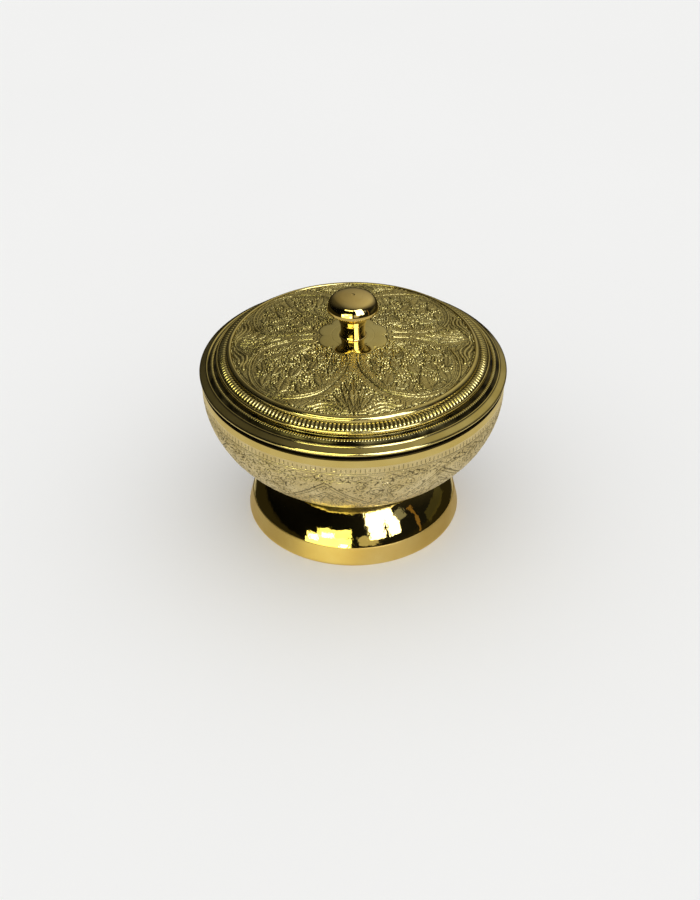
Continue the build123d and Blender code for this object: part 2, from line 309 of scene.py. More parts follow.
    def scroll(self, x, y, radius, turns, start, hand, width=0.45, depth=0.25):
        """A spiral cut: its radius falls evenly to a fifth over its turns."""
        t = np.linspace(0, 1, int(24 * turns) + 2)
        angle = math.radians(start) + hand * t * turns * TAU
        r = radius * (1 - 0.8 * t)
        self.path(np.stack([x + r * np.cos(angle), y + r * np.sin(angle)], -1), width, depth)


def grains(x, y, pitch, seed):
    """Close-set punched grains, 0 to 1: half rounds on a square lattice, each moved a little at random."""
    jitter = np.random.default_rng(seed).random((64, 64, 2)) * 0.7 + 0.15
    i, j = np.floor(x / pitch).astype(int), np.floor(y / pitch).astype(int)
    best = np.full(x.shape, 9.0)
    for di in (-1, 0, 1):
        for dj in (-1, 0, 1):
            spot = jitter[(i + di) % 64, (j + dj) % 64]
            away = np.hypot(x / pitch - i - di - spot[..., 0], y / pitch - j - dj - spot[..., 1])
            best = np.minimum(best, away)
    return np.sqrt(np.clip(1 - (best / 0.55) ** 2, 0, 1))


# The lid's design, for the quarter between +X and +Y; the other quarters mirror it.
ROSETTE_R = 17.3
PETAL = [
    (2.6, 16.5), (2.4, 21.0), (3.0, 25.0), (4.6, 30.0), (7.6, 35.0), (12.0, 40.6), (17.5, 44.6), (26.0, 46.6),
    (33.0, 46.2), (40.0, 43.0), (45.2, 38.0), (48.6, 31.0), (49.9, 23.0), (48.8, 15.0), (45.6, 8.8),
    (41.0, 5.2), (34.0, 3.2), (27.0, 2.4), (20.0, 2.4),
]
# x, y, length, width, angle, bend of each leaf inside a petal
LEAVES = [
    (33.0, 36.5, 14, 8.0, 252, 0.8), (25.5, 39.0, 9.5, 5.0, 275, -0.6), (16.5, 34.5, 11.5, 6.2, 285, -0.8),
    (41.5, 32.0, 10, 5.6, 75, -0.8), (27.0, 27.5, 10, 5.6, 240, 0.6), (36.5, 25.5, 9, 5.0, 60, 0.6),
    (43.5, 21.5, 8.5, 4.4, 100, -0.6), (38.0, 14.0, 9.5, 5.0, 20, 0.8), (18.5, 24.5, 8.5, 4.6, 250, 0.5),
    (11.0, 27.5, 8.0, 4.0, 265, -0.6), (26.0, 11.0, 8.5, 4.2, 200, 0.6), (15.0, 17.0, 7.0, 3.6, 228, 0.0),
    (33.0, 8.0, 7.5, 3.4, 185, 0.4), (22.0, 41.0, 7.0, 3.2, 160, 0.5), (31.5, 43.0, 8.0, 3.4, 185, -0.5),
    (38.5, 39.5, 7.5, 3.6, 140, 0.4), (21.5, 17.5, 6.5, 3.2, 300, 0.3), (31.0, 20.0, 6.5, 3.4, 330, 0.3),
    (9.2, 21.5, 6.0, 2.8, 270, 0.0), (45.3, 14.0, 6.0, 3.0, 75, 0.3),
]
# x, y, radius, petals of each flower
FLOWERS = [
    (29.0, 15.0, 3.1, 6), (21.5, 30.5, 2.7, 6), (33.0, 30.0, 2.6, 5), (40.0, 19.0, 2.4, 5),
    (20.0, 12.5, 2.3, 6), (12.5, 33.2, 2.2, 5), (15.0, 22.0, 2.2, 6), (37.5, 33.5, 2.1, 5),
    (24.0, 22.5, 2.3, 6), (42.5, 27.0, 2.0, 5), (27.5, 34.5, 2.0, 6), (34.5, 21.5, 1.8, 5),
    (40.5, 9.6, 1.8, 5), (26.0, 6.6, 1.7, 5),
]
# The plant between two petals, from the middle out: along, across, length, width, angle, bend of each blade.
PLANT = [
    (52.0, 9.0, 9.0, 2.8, 128, 0.8), (50.5, 6.6, 12.0, 3.2, 148, 1.0), (48.5, 3.6, 15.0, 3.4, 164, 0.8),
    (52.0, 1.9, 9.5, 2.4, 174, 0.3), (44.5, 0.0, 20.0, 4.4, 180, 0.0), (40.5, 3.0, 7.5, 2.4, 158, 0.4),
]
# The waving leaves at the plant's foot, as (along, across).
WAVES = [
    [(58.0, 1.0), (56.6, 4.5), (53.6, 8.0), (51.6, 11.5), (51.4, 15.0), (52.8, 18.6), (52.6, 21.5)],
    [(58.3, 2.6), (57.8, 5.6), (55.4, 9.2), (53.6, 12.4), (53.4, 15.6), (54.4, 18.4)],
    [(58.6, 6.8), (57.4, 9.8), (55.6, 13.0), (55.4, 16.0)],
]


def quarter_turn(x, y, quarter):
    """A place turned by whole quarters."""
    for _ in range(quarter):
        x, y = -y, x
    return x, y


def paint_petal(work, sx, sy, outline):
    """One petal: leaves, flowers, a fan and scrolls in a raised outline, and a hatched border outside."""
    spin = 1 if sx * sy > 0 else -1
    work.scroll(sx * 24, sy * 25, 3.6, 1.4, 40, spin)
    work.scroll(sx * 40.5, sy * 36, 2.6, 1.3, 200, -spin)
    work.scroll(sx * 13.5, sy * 28.5, 2.6, 1.2, 120, spin)
    work.scroll(sx * 33.5, sy * 11.5, 2.8, 1.2, 20, -spin)
    work.fan(sx * 18.5, sy * 9.5, 7.5, math.degrees(math.atan2(sy * 0.5, sx)), 62, 13)
    for x, y, length, width, angle, bend in LEAVES:
        turn = math.radians(angle)
        mirrored = math.degrees(math.atan2(sy * math.sin(turn), sx * math.cos(turn)))
        work.leaf(sx * x, sy * y, length, width, mirrored, bend * spin)
    for x, y, size, petals in FLOWERS:
        work.flower(sx * x, sy * y, size, petals, turn=31 * x)
    work.rope(outline * (sx, sy), 0.7, 0.5)
    work.rope(outline[6:-6] * (sx, sy) * 0.965, 0.45, 0.3, 0.4)
    work.ribbon(outline * (sx, sy), 1.2, 1.5, 2.4, 0.9)


def paint_plant(work, quarter):
    """The plant between two petals: blades that fan out by the rim, and waving leaves at its foot."""
    for wave, lift in zip(WAVES, (0.7, 0.6, 0.5)):
        for side in (1, -1):
            path = flowing([quarter_turn(a, side * b, quarter) for a, b in wave], 1.0)
            work.rope(path, 0.9, lift, 0.6)
    for along, across, length, width, angle, bend in PLANT:
        for side in (1, -1) if across else (1,):
            x, y = quarter_turn(along, side * across, quarter)
            work.leaf(x, y, length, width, side * angle + 90 * quarter, side * bend, veins=5)


def rosette_edge(turn):
    """The rosette's scalloped edge round the knob: eight broad lobes."""
    return ROSETTE_R - 2.6 + 2.6 * np.abs(np.cos(4 * turn + math.pi / 2)) ** 0.7


def lid_relief(x, y):
    """The chased field of the lid.

    Four petals outlined by a raised line and filled with leaves, flowers, fans and scrolls; a plant between
    each pair; slanting hatching by the rim; grains punched close over the bare ground; and a plain rosette of
    scallops round the knob.
    """
    radius = np.hypot(x, y)
    work = Relief(x, y)
    outline = flowing(PETAL, 1.6)
    for sx, sy in ((1, 1), (-1, 1), (-1, -1), (1, -1)):
        paint_petal(work, sx, sy, outline)
    for quarter in range(4):
        paint_plant(work, quarter)
    everywhere = ...
    turn = np.arctan2(y, x)
    edge = rosette_edge(turn)
    work.raise_over(everywhere, radius < edge, -0.5)
    work.engrave(everywhere, np.abs(radius - edge - 0.2), 0.7, 0.15)
    bare = (radius > 53.8) & (radius < 58.4) & (work.ground > 0.5)
    hatch = np.abs((turn * 132 / TAU + (radius - 53.8) * 0.2) % 1.0 - 0.5) * TAU * radius / 132
    work.height = np.where(bare, 0.3 - 0.22 * hatch, work.height)
    work.engrave(everywhere, np.where(bare, hatch, 9), 1.0, 0.35)
    work.ground = np.where(bare, 0, work.ground)
    work.engrave(everywhere, np.abs(radius - 59.0), 0.7, 0.3)
    grain = grains(x, y, 1.15, 3)
    work.height += work.ground * (0.6 * grain - 0.42)
    work.cut = np.maximum(work.cut, work.ground * (1 - ramp(grain, 0.1, 0.6)) * 0.85)
    # Small unevenness of the hammer and the chasing tool over everything outside the rosette.
    loose = ramp(radius - edge, 0.0, 1.5)
    work.height += loose * 0.24 * (lattice_noise(x, y, 0.85, 5) + 0.5 * lattice_noise(x, y, 2.4, 6) - 0.75)
    return work.height, work.cut


def bowl_relief(u, s):
    """The chased belly of the bowl, over distance round (u) and distance down (s) from its plain band.

    A row of upright ticks, a border line, a running wave, eight tall pointed arches that cross into lozenges,
    scrolls and leaves in them, and wandering fine lines over the rest: the lines are where smooth noise
    crosses evenly spaced levels.
    """
    work = Relief(u, s)
    everywhere = ...
    pitch = TAU * 75.3 / 8
    tick = np.abs((u / 2.25) % 1.0 - 0.5) * 2.25
    wobble = 0.9 * lattice_noise(u, s * 0, 2.25, 11)
    work.engrave(everywhere, np.where((s > 0.6 + wobble) & (s < 3.1), tick, 9), 0.62, 0.25)
    for level, width in ((3.9, 0.65), (4.9, 0.4), (9.4, 0.45)):
        work.engrave(everywhere, np.abs(s - level), width, 0.24)
    side = np.abs((u + pitch / 2) % pitch - pitch / 2)
    wave = np.abs(s - 7.1 - 1.3 * np.sin(u * TAU * 5 / pitch))
    work.engrave(everywhere, np.where((s > 4.9) & (s < 9.4), wave, 9), 0.5, 0.22)
    curl = np.abs(np.hypot((u % (pitch / 10)) - pitch / 20, s - 7.1) - 1.5)
    work.engrave(everywhere, np.where((s > 5.0) & (s < 9.2), curl, 9), 0.4, 0.2)
    # Arches and their crossings: s = top + slope * side, and the same line coming up from the cell's edge.
    for offset, width in ((0.0, 1.0), (1.7, 0.7), (6.0, 0.8), (7.2, 0.55)):
        falling = np.abs(s - 10.4 - offset * 1.3 - side * 0.86) / 1.32
        rising = np.abs(s - 36.0 + offset * 1.3 - (pitch / 2 - side) * 0.86) / 1.32
        work.engrave(everywhere, np.where(s > 9.8, falling, 9), width, 0.26)
        work.engrave(everywhere, np.where(s > 9.8, rising, 9), width, 0.2)
    for cell in range(-4, 5):
        middle = cell * pitch
        work.leaf(middle, 26.5, 10, 5.6, 270, 0, veins=5, lift=0.3)
        work.leaf(middle, 40, 9, 6, 90, 0, veins=5, lift=0.25)
        work.flower(middle, 33, 2.0, 6, lift=0.25)
        between = middle + pitch / 2
        for hand in (1, -1):
            work.scroll(between + hand * 5.0, 17.0, 4.3, 1.9, 90, hand, 0.55, 0.3)
            work.scroll(between + hand * 11.8, 13.0, 2.9, 1.6, 90, -hand, 0.5, 0.3)
            work.scroll(middle + hand * 5.8, 31.5, 3.6, 1.7, 270, -hand, 0.5, 0.3)
            work.scroll(between + hand * 4.2, 27.5, 3.2, 1.5, 90, hand, 0.5, 0.3)
            work.leaf(between + hand * 3.4, 23, 5.5, 2.6, 90 - hand * 35, 0.4 * hand, veins=3, lift=0.25)
        work.flower(between, 12.4, 2.0, 6, lift=0.25)
        work.flower(between, 21.6, 1.6, 5, lift=0.25)
    field = ramp(s, 4.9, 5.6) * work.ground
    drift = lattice_noise(u, s, 3.1, 21) + 0.4 * lattice_noise(u, s, 1.3, 22)
    lines = groove(np.abs((drift * 4.6) % 1.0 - 0.5) * 1.5, 0.5)
    gate = ramp(lattice_noise(u, s, 4.0, 23), 0.3, 0.55)
    specks = ramp(lattice_noise(u, s, 0.9, 24), 0.7, 0.85)
    fine = np.maximum(lines * gate, specks) * field
    work.height -= 0.16 * fine
    work.cut = np.maximum(work.cut, 0.8 * fine)
    # Bare cast skin: small pits left by the sand.
    work.height -= 0.2 * ramp(lattice_noise(u, s, 1.0, 25), 0.4, 1.0) * ramp(s, 0.2, 1.0)
    # Painted shade: the lowest part of the belly, facing down and away from the light, is painted dark.
    work.cut = np.maximum(work.cut, ramp(s, 47.0, 52.0))
    return work.height, work.cut


# ---- materials


def colour(hex_value, alpha=1.0):
    """An sRGB hex colour as linear values."""
    parts = [int(hex_value[i : i + 2], 16) / 255 for i in (1, 3, 5)]
    return tuple(c / 12.92 if c <= 0.04045 else ((c + 0.055) / 1.055) ** 2.4 for c in parts) + (alpha,)


def add(tree, kind, inputs=None, stops=None, **settings):
    """Adds a node with its settings. inputs gives sockets their values, or the sockets that feed them, by
    name, number or identifier; stops are a colour ramp's places and hex colours."""
    node = tree.nodes.new(kind)
    for key, value in settings.items():
        setattr(node, key, value)
    if stops:
        while len(node.color_ramp.elements) < len(stops):
            node.color_ramp.elements.new(0.5)
        for element, (place, tone) in zip(node.color_ramp.elements, stops):
            element.position = place
            element.color = colour(tone)
    for key, value in (inputs or {}).items():
        socket = next((x for x in node.inputs if x.identifier == key), None) or node.inputs[key]
        if isinstance(value, bpy.types.NodeSocket):
            tree.links.new(value, socket)
        else:
            socket.default_value = value
    return node


def blank(name):
    """A new material with an empty tree, its output and its shader."""
    material = bpy.data.materials.new(name)
    material.use_nodes = True
    tree = material.node_tree
    tree.nodes.clear()
    shader = add(tree, "ShaderNodeBsdfPrincipled")
    add(tree, "ShaderNodeOutputMaterial", {"Surface": shader.outputs["BSDF"]})
    return material, tree, shader


def chased_brass(name, face, shade, dark, roughness, grain_mm, grain_bump, grain_depth=0.1):
    """Cast brass, chased, blackened in the cuts and buffed on top: dark lines and bright high spots.

    Colour drifts between face and shade in blotches about 10 mm wide; the cut attribute darkens the tarnished
    cuts and painted shade.
    """
    material, tree, shader = blank(name)
    place = add(tree, "ShaderNodeTexCoord").outputs["Object"]
    cut = add(tree, "ShaderNodeAttribute", attribute_name="cut").outputs["Fac"]
    blotch = add(tree, "ShaderNodeTexNoise", {"Vector": place, "Scale": 90.0, "Detail": 4.0}).outputs["Fac"]
    grain = add(tree, "ShaderNodeTexNoise", {"Vector": place, "Scale": 1 / (grain_mm * MM)}).outputs["Fac"]
    drift = [(0.3, face), (0.75, shade)]
    tone = add(tree, "ShaderNodeValToRGB", {"Fac": blotch}, stops=drift).outputs["Color"]
    wear = {"Value": blotch, "To Min": 0.65, "To Max": 1.25}
    worn = add(tree, "ShaderNodeMapRange", wear).outputs["Result"]
    # Darkness from the cut attribute: tarnish in chased cuts, and painted shade where the attribute marks
    # shaded places.
    patina_and_shade = add(tree, "ShaderNodeMath", {0: cut, 1: worn}, operation="MULTIPLY", use_clamp=True).outputs[0]
    colours = {"Factor": patina_and_shade, "A_Color": tone, "B_Color": colour(dark)}
    metal = add(tree, "ShaderNodeMix", colours, data_type="RGBA").outputs[2]
    tree.links.new(metal, shader.inputs["Base Color"])
    shader.inputs["Metallic"].default_value = 1.0
    limits = {"Value": grain, "To Min": roughness * 0.5, "To Max": roughness * 1.5}
    smooth = add(tree, "ShaderNodeMapRange", limits).outputs["Result"]
    rough = add(tree, "ShaderNodeMath", {0: patina_and_shade, 1: 0.35, 2: smooth}, operation="MULTIPLY_ADD").outputs[0]
    tree.links.new(rough, shader.inputs["Roughness"])
    bump = {"Height": grain, "Strength": grain_bump, "Distance": grain_depth * MM}
    tree.links.new(add(tree, "ShaderNodeBump", bump).outputs["Normal"], shader.inputs["Normal"])
    return material


def turned_brass(name, face, shade, roughness, line_mm, line_bump, smear=0.5, ripple=0.0):
    """Brass turned on a lathe: fine rings that follow the tool, faint smears of handling, a little tarnish.

    The rings are noise over distance from the axis and height, so they run round the piece.
    """
    material, tree, shader = blank(name)
    place = add(tree, "ShaderNodeTexCoord").outputs["Object"]
    split = add(tree, "ShaderNodeSeparateXYZ", {"Vector": place})
    flat = add(tree, "ShaderNodeCombineXYZ", {"X": split.outputs["X"], "Y": split.outputs["Y"]}).outputs[0]
    radius = add(tree, "ShaderNodeVectorMath", {0: flat}, operation="LENGTH").outputs["Value"]
    rings = add(tree, "ShaderNodeCombineXYZ", {"X": radius, "Y": split.outputs["Z"]}).outputs[0]
    lines = {"Vector": rings, "Scale": 1 / (line_mm * MM), "Detail": 2.0, "Roughness": 0.7}
    lines = add(tree, "ShaderNodeTexNoise", lines).outputs["Fac"]
    smears = add(tree, "ShaderNodeTexNoise", {"Vector": place, "Scale": 60.0, "Detail": 4.0}).outputs["Fac"]
    drift = [(0.3, face), (0.75, shade)]
    tone = add(tree, "ShaderNodeValToRGB", {"Fac": smears}, stops=drift).outputs["Color"]
    tree.links.new(tone, shader.inputs["Base Color"])
    shader.inputs["Metallic"].default_value = 1.0
    limits = {"Value": smears, "To Min": roughness * (1 - smear), "To Max": roughness * (1 + smear)}
    smooth = add(tree, "ShaderNodeMapRange", limits).outputs["Result"]
    both = {0: lines, 1: roughness * 0.4, 2: smooth}
    rough = add(tree, "ShaderNodeMath", both, operation="MULTIPLY_ADD").outputs[0]
    tree.links.new(rough, shader.inputs["Roughness"])
    waves = add(tree, "ShaderNodeTexNoise", {"Vector": place, "Scale": 160.0, "Detail": 3.0}).outputs["Fac"]
    rolling = {"Height": waves, "Strength": 1.0, "Distance": ripple * MM}
    waved = add(tree, "ShaderNodeBump", rolling).outputs["Normal"]
    bump = {"Height": lines, "Strength": line_bump, "Distance": 0.03 * MM, "Normal": waved}
    tree.links.new(add(tree, "ShaderNodeBump", bump).outputs["Normal"], shader.inputs["Normal"])
    return material


# Chased lid: olive yellow, well blackened, buffed bright on its high spots.
LID_BRASS = chased_brass("chased_lid_brass", "#EBDC96", "#D3C078", "#120F08", 0.16, 0.7, 0.9, 0.3)
# Chased bowl: paler, scoured to a soft sheen, thin dark lines; the same dark colour paints shade under the
# belly.
BOWL_BRASS = chased_brass("chased_bowl_brass", "#F0DFB0", "#DDC88E", "#1E170C", 0.3, 0.8, 0.7, 0.2)
# Beads and milling: as the lid, brighter and smoother on top.
BEAD_BRASS = chased_brass("milled_bead_brass", "#EFE09C", "#DCC878", "#100D07", 0.14, 0.3, 0.1)
# Plain steps of the lid: polished, a little softened by handling; its dark colour paints black shade in the
# grooves between them and under the edge.
STEP_BRASS = chased_brass("polished_step_brass", "#E6D591", "#D3BF74", "#14110A", 0.11, 0.5, 0.08)
# Rosette under the knob: mirror-smooth, a little olive.
ROSETTE_BRASS = turned_brass("polished_rosette_brass", "#E4D592", "#D2C078", 0.07, 0.3, 0.05)
# Mirror-polished dome of the foot: sharp reflections.
MIRROR_BRASS = turned_brass("mirror_polished_brass", "#EBD68A", "#DDC36C", 0.04, 0.3, 0.03, ripple=0.15)
# The knob's alloy looks a little redder.
KNOB_BRASS = turned_brass("polished_knob_brass", "#ECD592", "#DFC070", 0.05, 0.3, 0.03, ripple=0.05)
# Foot band: satin, from fine abrasive held against the turning foot.
SATIN_BRASS = turned_brass("satin_turned_brass", "#E8CC82", "#DCB968", 0.34, 0.2, 0.3, 0.2)
# Rim band of the bowl: smoother than the belly, still soft.
BAND_BRASS = turned_brass("buffed_band_brass", "#E8D28A", "#D9C070", 0.2, 0.22, 0.15, 0.3)
# Under the lid's edge: painted shade, nearly black, on the bowl's rim in the gap under the lid.
GAP_SHADE_BRASS = turned_brass("painted_shade_rim_brass", "#3A3018", "#241C0E", 0.4, 0.3, 0.2)
# Cups, false floor and spoon: spun sheet brass with coarser rings.
SPUN_BRASS = turned_brass("spun_sheet_brass", "#E4C983", "#D0AF60", 0.2, 0.5, 0.25)
# Bolt, screw, nut and washers: plain turned and dull.
FIXING_BRASS = turned_brass("dull_turned_brass", "#CDAE66", "#A98A45", 0.38, 0.3, 0.4)

# ---- lid

FIELD_R = 59.75
SLAB = 1.0
FIELD_IN = (7.7, KNOB_SEAT)
FIELD_OUT = (59.6, KNOB_SEAT - 6.1)
FIELD_BOW = 0.87  # how far the middle of the field's fall stands above a straight run


def field_height(radius):
    """The plain field, gently domed: level by the knob's seat, then a bowed fall to the raised ring."""
    share = np.clip((radius - FIELD_IN[0]) / (FIELD_OUT[0] - FIELD_IN[0]), 0, 1)
    straight = FIELD_IN[1] + share * (FIELD_OUT[1] - FIELD_IN[1])
    return straight + 4 * FIELD_BOW * share * (1 - share)


def field_ring(name, inner, outer, rows, steps):
    """One ring of the field as a closed slab: chased top, plain underside."""
    radii = np.concatenate([[inner, outer], np.linspace(outer, inner, rows)])
    turn = np.arange(steps) / steps * TAU
    x, y = radii[:, None] * np.cos(turn), radii[:, None] * np.sin(turn)
    # The design is set a few degrees round at the right, as laid out by hand.
    skew = -math.radians(4.5) * np.clip(np.cos(turn), 0, 1) ** 2
    dx, dy = radii[:, None] * np.cos(turn + skew), radii[:, None] * np.sin(turn + skew)
    height, cut = lid_relief(dx[2:], dy[2:])
    calm = ramp(radii[2:], 8.2, 9.8)[:, None]
    z = np.repeat(field_height(radii)[:, None], steps, 1)
    z[:2] -= SLAB
    z[2:] += height * calm
    darkness = np.zeros(x.shape)
    darkness[2:] = cut * calm
    points = np.stack([x, y, z], -1)
    return put(name, points, LID_BRASS, "lid", True, darkness, ["lid"], crease=70)


def make_rosette():
    """The mirror-smooth middle of the lid, under the knob: eight broad scallops and one fine circle."""
    rows, steps, hub, fine_r, under = 70, 720, 6.9, 10.5, 0.9
    turn = np.arange(steps) / steps * TAU
    share = np.linspace(0, 1, rows)[::-1, None]
    edge = rosette_edge(turn)[None, :]
    radius = hub + share * (edge - hub)
    lift = 0.28 * np.sqrt(np.clip(1 - share**6, 0, 1))
    fine = groove(np.abs(radius - fine_r), 0.3)
    z = field_height(radius) + lift - 0.08 * fine
    low_radius = np.vstack([np.full((1, steps), hub), edge])
    radius = np.vstack([low_radius, radius])
    z = np.vstack([field_height(low_radius) - under, z])
    cut = np.vstack([np.zeros((2, steps)), 0.5 * fine])
    points = np.stack([radius * np.cos(turn), radius * np.sin(turn), z], -1)
    put("lid_rosette", points, ROSETTE_BRASS, "lid", True, cut, crease=50)


def make_lid():
    """The lid: its chased field, and the turned steps, bead ring, flange, edge and skirt round it."""
    field_ring("lid_field_inner", 12.0, 31.0, 100, 900)
    field_ring("lid_field_middle", 31.0, 46.5, 80, 1200)
    field_ring("lid_field_outer", 46.5, FIELD_R, 66, 1450)
    make_rosette()
    inner = np.linspace(FIELD_IN[0], 58.8, 12)
    vault = np.stack([inner, field_height(inner) - 2.1], -1)
    shelf = np.stack([inner, field_height(inner) - 1.15], -1)[::-1]
    ring = [(59.8, 94.9), (59.9, 95.7), (60.3, 96.15), (60.9, 96.2), (61.7, 95.75)]
    ring += [(62.3, 95.05), (62.5, 94.2)]
    top = flowing(ring, 0.12)[::-1]
    bead = [(66.55, 91.4), (66.85, 91.9), (67.25, 91.8), (67.5, 91.2), (67.5, 90.3)]
    bead += [(67.25, 89.5), (67.45, 89.05)]
    roll = flowing(bead, 0.14)[::-1]
    lip = flowing([(71.9, 87.5), (72.2, 87.68), (72.55, 87.6), (72.75, 87.3)], 0.12)[::-1]
    edge = arc((75.45, 84.85), (0.6, 0.72), -60, 62, 12)
    profile = np.vstack(
        [
            corners((2.6, KNOB_SEAT - 2.1)),
            vault,
            corners((64.6, 90.2), (66.0, 87.2), (70.4, 85.2), (70.4, 77.8)),
            corners((70.7, 77.5), (71.6, 77.5), (71.9, 77.8), (71.9, RIM_Z), (74.0, RIM_Z), (75.2, 83.9)),
            edge,
            line((75.6, 85.65), (72.75, 87.25), 8),
            lip,
            corners((71.6, 87.35), (70.95, 87.6), (70.75, 88.4)),
            line((70.45, 88.9), (68.6, 88.75), 3),
            corners((67.9, 88.7), (67.5, 88.85)),
            roll,
            corners((66.5, 90.9), (62.8, 92.5), (62.7, 93.4)),
            top,
            corners((59.7, 94.4)),
            shelf,
            corners((7.6, KNOB_SEAT - 0.02), (2.6, KNOB_SEAT - 0.02)),
        ]
    )
    # Painted shade: the grooves between the steps, the slope between the bead bars and the underside of the
    # edge over the bowl are set fully dark.
    patina_and_shade = np.zeros((len(profile), 540))
    radius, height = profile.T
    grooved = (radius > 67.3) & (radius < 71.7) & (height > 87.2) & (height < 89.6)
    patina_and_shade[grooved | ((radius > 62.45) & (radius < 66.7) & (height > 90.5) & (height < 93.5))] = 1
    patina_and_shade[(radius > 70) & (height < 84.3)] = 1
    put("lid_body", lathe(profile, 540), STEP_BRASS, "lid", True, patina_and_shade, crease=28)
    make_lid_beads()
    make_lid_milling()


def make_lid_beads():
    """The ring of short bars: over a slope, 200 half-round bars, each rounded off at both ends."""
    count, per_bar, across = 200, 6, 8
    steps = count * per_bar
    share = np.linspace(0, 1, across)[::-1]
    turn = (np.arange(steps) + 0.5) / steps * TAU
    around = (np.arange(steps) % per_bar + 0.5) / per_bar * 2 - 1
    bulge = np.sqrt(np.clip(1 - around**2, 0, 1))[None, :]
    ends = np.clip(1 - np.abs(share * 2 - 1) ** 2.4, 0, 1)[:, None] ** 0.5
    slope = np.array([(62.6, 93.4), (66.65, 91.5)])
    base = slope[0] + share[:, None] * (slope[1] - slope[0])
    normal = np.array([0.42, 0.907])
    lift = 1.45 * (bulge - 0.3) * ends
    radius = np.vstack([np.full((1, steps), 62.7), np.full((1, steps), 66.6), base[:, :1] + lift * normal[0]])
    height = np.vstack([np.full((1, steps), 92.5), np.full((1, steps), 90.8), base[:, 1:] + lift * normal[1]])
    cut = np.vstack([np.zeros((2, steps)), 1 - ramp(bulge, 0.55, 0.8) * ramp(ends, 0.2, 0.5)])
    points = np.stack([radius * np.cos(turn), radius * np.sin(turn), height], -1)
    put("lid_beads", points, BEAD_BRASS, "lid", True, cut, crease=60)


def make_lid_milling():
    """The fine milled ring in the outer groove: 320 low ridges, slanted a little."""
    count, per_ridge, across = 320, 5, 6
    steps = count * per_ridge
    turn = np.arange(steps) / steps * TAU
    share = np.linspace(0, 1, across)[::-1]
    wave = np.cos(TAU * (np.arange(steps) / per_ridge)[None, :] + 1.6 * share[:, None])
    radius = np.repeat((68.7 + 1.75 * share)[:, None], steps, 1)
    height = 88.85 + 0.35 * np.sin(share * math.pi)[:, None] + 0.14 * wave
    low = np.array([[68.7], [70.45]]) * np.ones(steps)
    radius = np.vstack([low, radius])
    cut = np.vstack([np.zeros((2, steps)), ramp(-wave, 0.2, 1.0)])
    height = np.vstack([np.full((2, steps), 88.5), height])
    points = np.stack([radius * np.cos(turn), radius * np.sin(turn), height], -1)
    put("lid_milled_ring", points, BEAD_BRASS, "lid", True, cut, crease=60)


make_lid()

# ---- knob


def make_knob():
    """Turned mushroom knob: a bright lip at the seat, a plain stem with one ring line, an undercut cap."""
    z = KNOB_SEAT
    widest = KNOB_R - 0.04
    foot = [(6.7, z + 0.06), (6.68, z + 0.32), (6.4, z + 0.5), (6.22, z + 0.75), (6.1, z + 1.3)]
    stem = [(6.06, z + 1.5), (5.98, z + 3.6), (6.05, z + 5.6), (6.2, z + 7.35)]
    throat = [(6.62, z + 8.0), (6.9, z + 9.0), (7.4, z + 10.8), (8.4, z + 12.6)]
    throat += [(9.7, z + 13.9), (11.3, z + 14.7)]
    rim = [(11.9, z + 14.8), (12.4, z + 14.92), (widest, z + 15.2), (12.5, z + 15.6), (12.3, z + 16.9)]
    crown = [(11.7, z + 18.7), (10.6, z + 20.3), (9.0, z + 21.4), (6.6, z + 22.1)]
    crown += [(3.6, z + 22.5), (1.1, KNOB_TOP)]
    profile = np.vstack(
        [
            corners((0.4, z), (6.6, z)),
            flowing(foot, 0.1),
            flowing(stem, 0.3),
            corners((6.2, z + 7.4), (6.05, z + 7.55), (6.2, z + 7.7), (6.6, z + 7.9)),
            flowing(throat, 0.18),
            flowing(rim + crown, 0.16),
            corners((0.8, KNOB_TOP - 0.25), (0.4, KNOB_TOP - 0.35)),
        ]
    )
    put("knob_turned", lathe(profile, 240), KNOB_BRASS, "lid", replaces=["knob"], crease=24)


make_knob()

# ---- bowl

BELLY_Z = 76.0
BELLY_A = box_mm("bowl")[1][0]
BELLY_B = 56.4
SKIN = 0.75


def belly_table():
    """Arc length down the belly against the ellipse's own angle, from a fine walk along it."""
    angle = np.radians(np.linspace(0, 62.4, 800))
    r, z = BELLY_A * np.cos(angle), -BELLY_B * np.sin(angle)
    length = np.concatenate([[0], np.cumsum(np.hypot(np.diff(r), np.diff(z)))])
    return angle, length


BELLY_ANGLE, BELLY_LENGTH = belly_table()
BAND_S = -1.4  # the chased part starts this far above the turn of the belly


def belly_point(s, depth=0.0):
    """Radius, height and outward normal at a distance s down the belly; above its turn it is upright."""
    angle = np.interp(np.clip(s, 0, None), BELLY_LENGTH, BELLY_ANGLE)
    nr, nz = np.cos(angle) / BELLY_A, -np.sin(angle) / BELLY_B
    size = np.hypot(nr, nz)
    nr, nz = nr / size, nz / size
    r = BELLY_A * np.cos(angle) - depth * nr
    z = BELLY_Z - BELLY_B * np.sin(angle) + np.clip(-s, 0, None) - depth * nz
    return r, z, nr, nz


